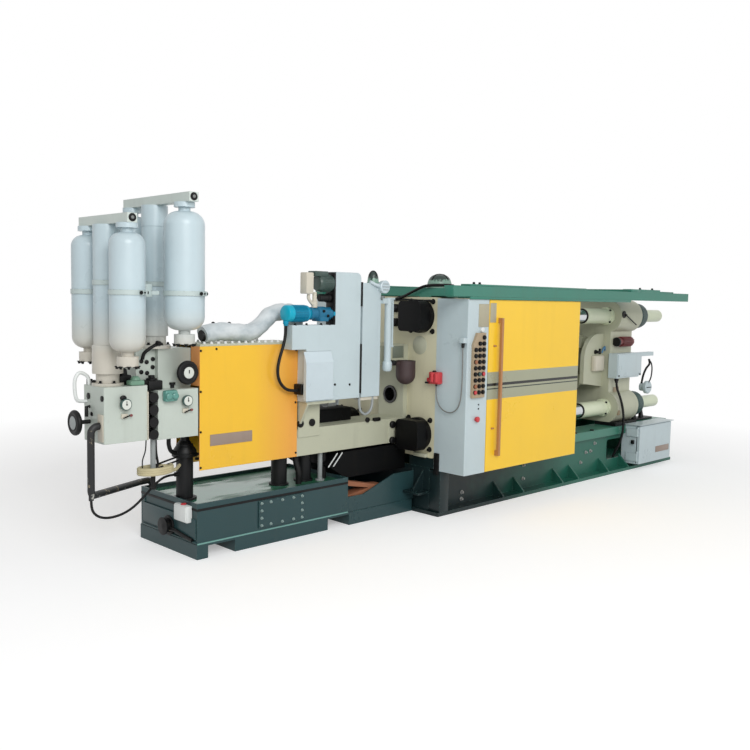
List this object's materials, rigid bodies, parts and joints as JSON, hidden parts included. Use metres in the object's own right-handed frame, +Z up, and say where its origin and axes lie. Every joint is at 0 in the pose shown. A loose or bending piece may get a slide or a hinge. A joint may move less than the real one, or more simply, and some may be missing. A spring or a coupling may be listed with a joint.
{
  "type": "die casting machine",
  "caption": "Cold chamber die casting machine with sliding yellow guards, gas accumulators and a ladle unit beside the shot end",
  "frame": {"origin": "on the floor under the outer face of the fixed platen, midway across the machine", "axes": "X runs along the machine towards the toggle end, Y across it away from the operator, Z up"},
  "size_m": [6.57, 1.822, 2.308],
  "materials": {
    "base_green": "satin",
    "machine_grey": "satin",
    "bar_chrome": "gloss",
    "dark_cast": "matte",
    "motor_red": "satin",
    "panel_tan": "satin",
    "guard_yellow": "satin",
    "handle_brown": "satin",
    "rail_green": "satin",
    "tank_green": "satin",
    "black_plastic": "satin",
    "black_rubber": "matte",
    "cup_red": "matte",
    "motor_blue": "satin",
    "foil_wrap": "satin",
    "valve_red": "satin"
  },
  "bodies": {
    "machine": {"base_frame": "base_green", "base_slideways": "base_green", "fixed_platen": "machine_grey", "tie_bars": "bar_chrome", "tie_bar_nuts": "dark_cast", "moving_platen": "machine_grey", "slide_shoes": "dark_cast", "toggle_links": "machine_grey", "crosshead": "machine_grey", "rear_platen": "machine_grey", "tie_bar_covers": "machine_grey", "gear_rings": "machine_grey", "closing_cylinder": "machine_grey", "toggle_castings": "machine_grey", "height_motor": "motor_red", "junction_box": "machine_grey", "electrical_box": "machine_grey", "side_cabinets": "machine_grey", "button_panel": "panel_tan", "door_rails": "rail_green", "rail_cross_beams": "machine_grey", "injection_skid": "tank_green", "oil_tank": "tank_green", "tank_lid": "tank_green", "tank_cover_plates": "tank_green", "tank_end_fittings": "black_plastic", "bridge_sides": "tank_green", "hose_cover": "dark_cast", "shot_frame": "machine_grey", "shot_cylinder": "bar_chrome", "shot_covers": "guard_yellow", "cover_top_plate": "guard_yellow", "hydraulic_blocks": "machine_grey", "hose_fittings": "black_rubber", "gas_bottles": "machine_grey", "accumulator_pistons": "machine_grey", "accumulator_headers": "machine_grey", "strap_frame": "dark_cast", "support_columns": "dark_cast", "ladle_body": "machine_grey", "ladle_drive_cover": "machine_grey", "ladle_bracket": "machine_grey", "ladle_column": "machine_grey", "ladle_motors": "motor_blue", "wrapped_pipe": "foil_wrap", "dome_caps": "dark_cast", "safety_valve": "valve_red", "return_pipe": "dark_cast", "motor_cable": "black_rubber", "junction_cable": "black_rubber", "hanging_cable": "black_rubber", "valve_conduit": "black_rubber"},
    "near_door": {"near_guard_door": "guard_yellow", "near_door_fittings": "handle_brown"},
    "far_door": {"far_guard_door": "guard_yellow", "far_door_fittings": "handle_brown"},
    "box_door": {"electrical_box_door": "machine_grey"},
    "side_wheel": {"side_handwheel": "black_plastic"},
    "end_wheel": {"end_handwheel": "black_plastic"},
    "ladle": {"ladle_cup": "cup_red"}
  },
  "joints": [
    {"name": "near_door_slide", "type": "slide", "parent": "machine", "child": "near_door", "axis": [1, 0, 0], "range_m": [0, 1.15]},
    {"name": "far_door_slide", "type": "slide", "parent": "machine", "child": "far_door", "axis": [1, 0, 0], "range_m": [0, 1.15]},
    {"name": "box_door_hinge", "type": "hinge", "parent": "machine", "child": "box_door", "pos_m": [2.967, -0.701, 0.25], "axis": [0, 0, -1], "range_deg": [0, 110]},
    {"name": "side_wheel_turn", "type": "hinge", "parent": "machine", "child": "side_wheel", "pos_m": [-2.041, -0.246, 1.203], "axis": [0, -1, 0], "continuous": true},
    {"name": "end_wheel_turn", "type": "hinge", "parent": "machine", "child": "end_wheel", "pos_m": [-2.714, -0.07, 0.918], "axis": [-1, 0, 0], "continuous": true},
    {"name": "ladle_tilt", "type": "hinge", "parent": "machine", "child": "ladle", "pos_m": [-0.13, -0.358, 1.195], "axis": [-1, 0, 0], "range_deg": [0, 100]}
  ]
}
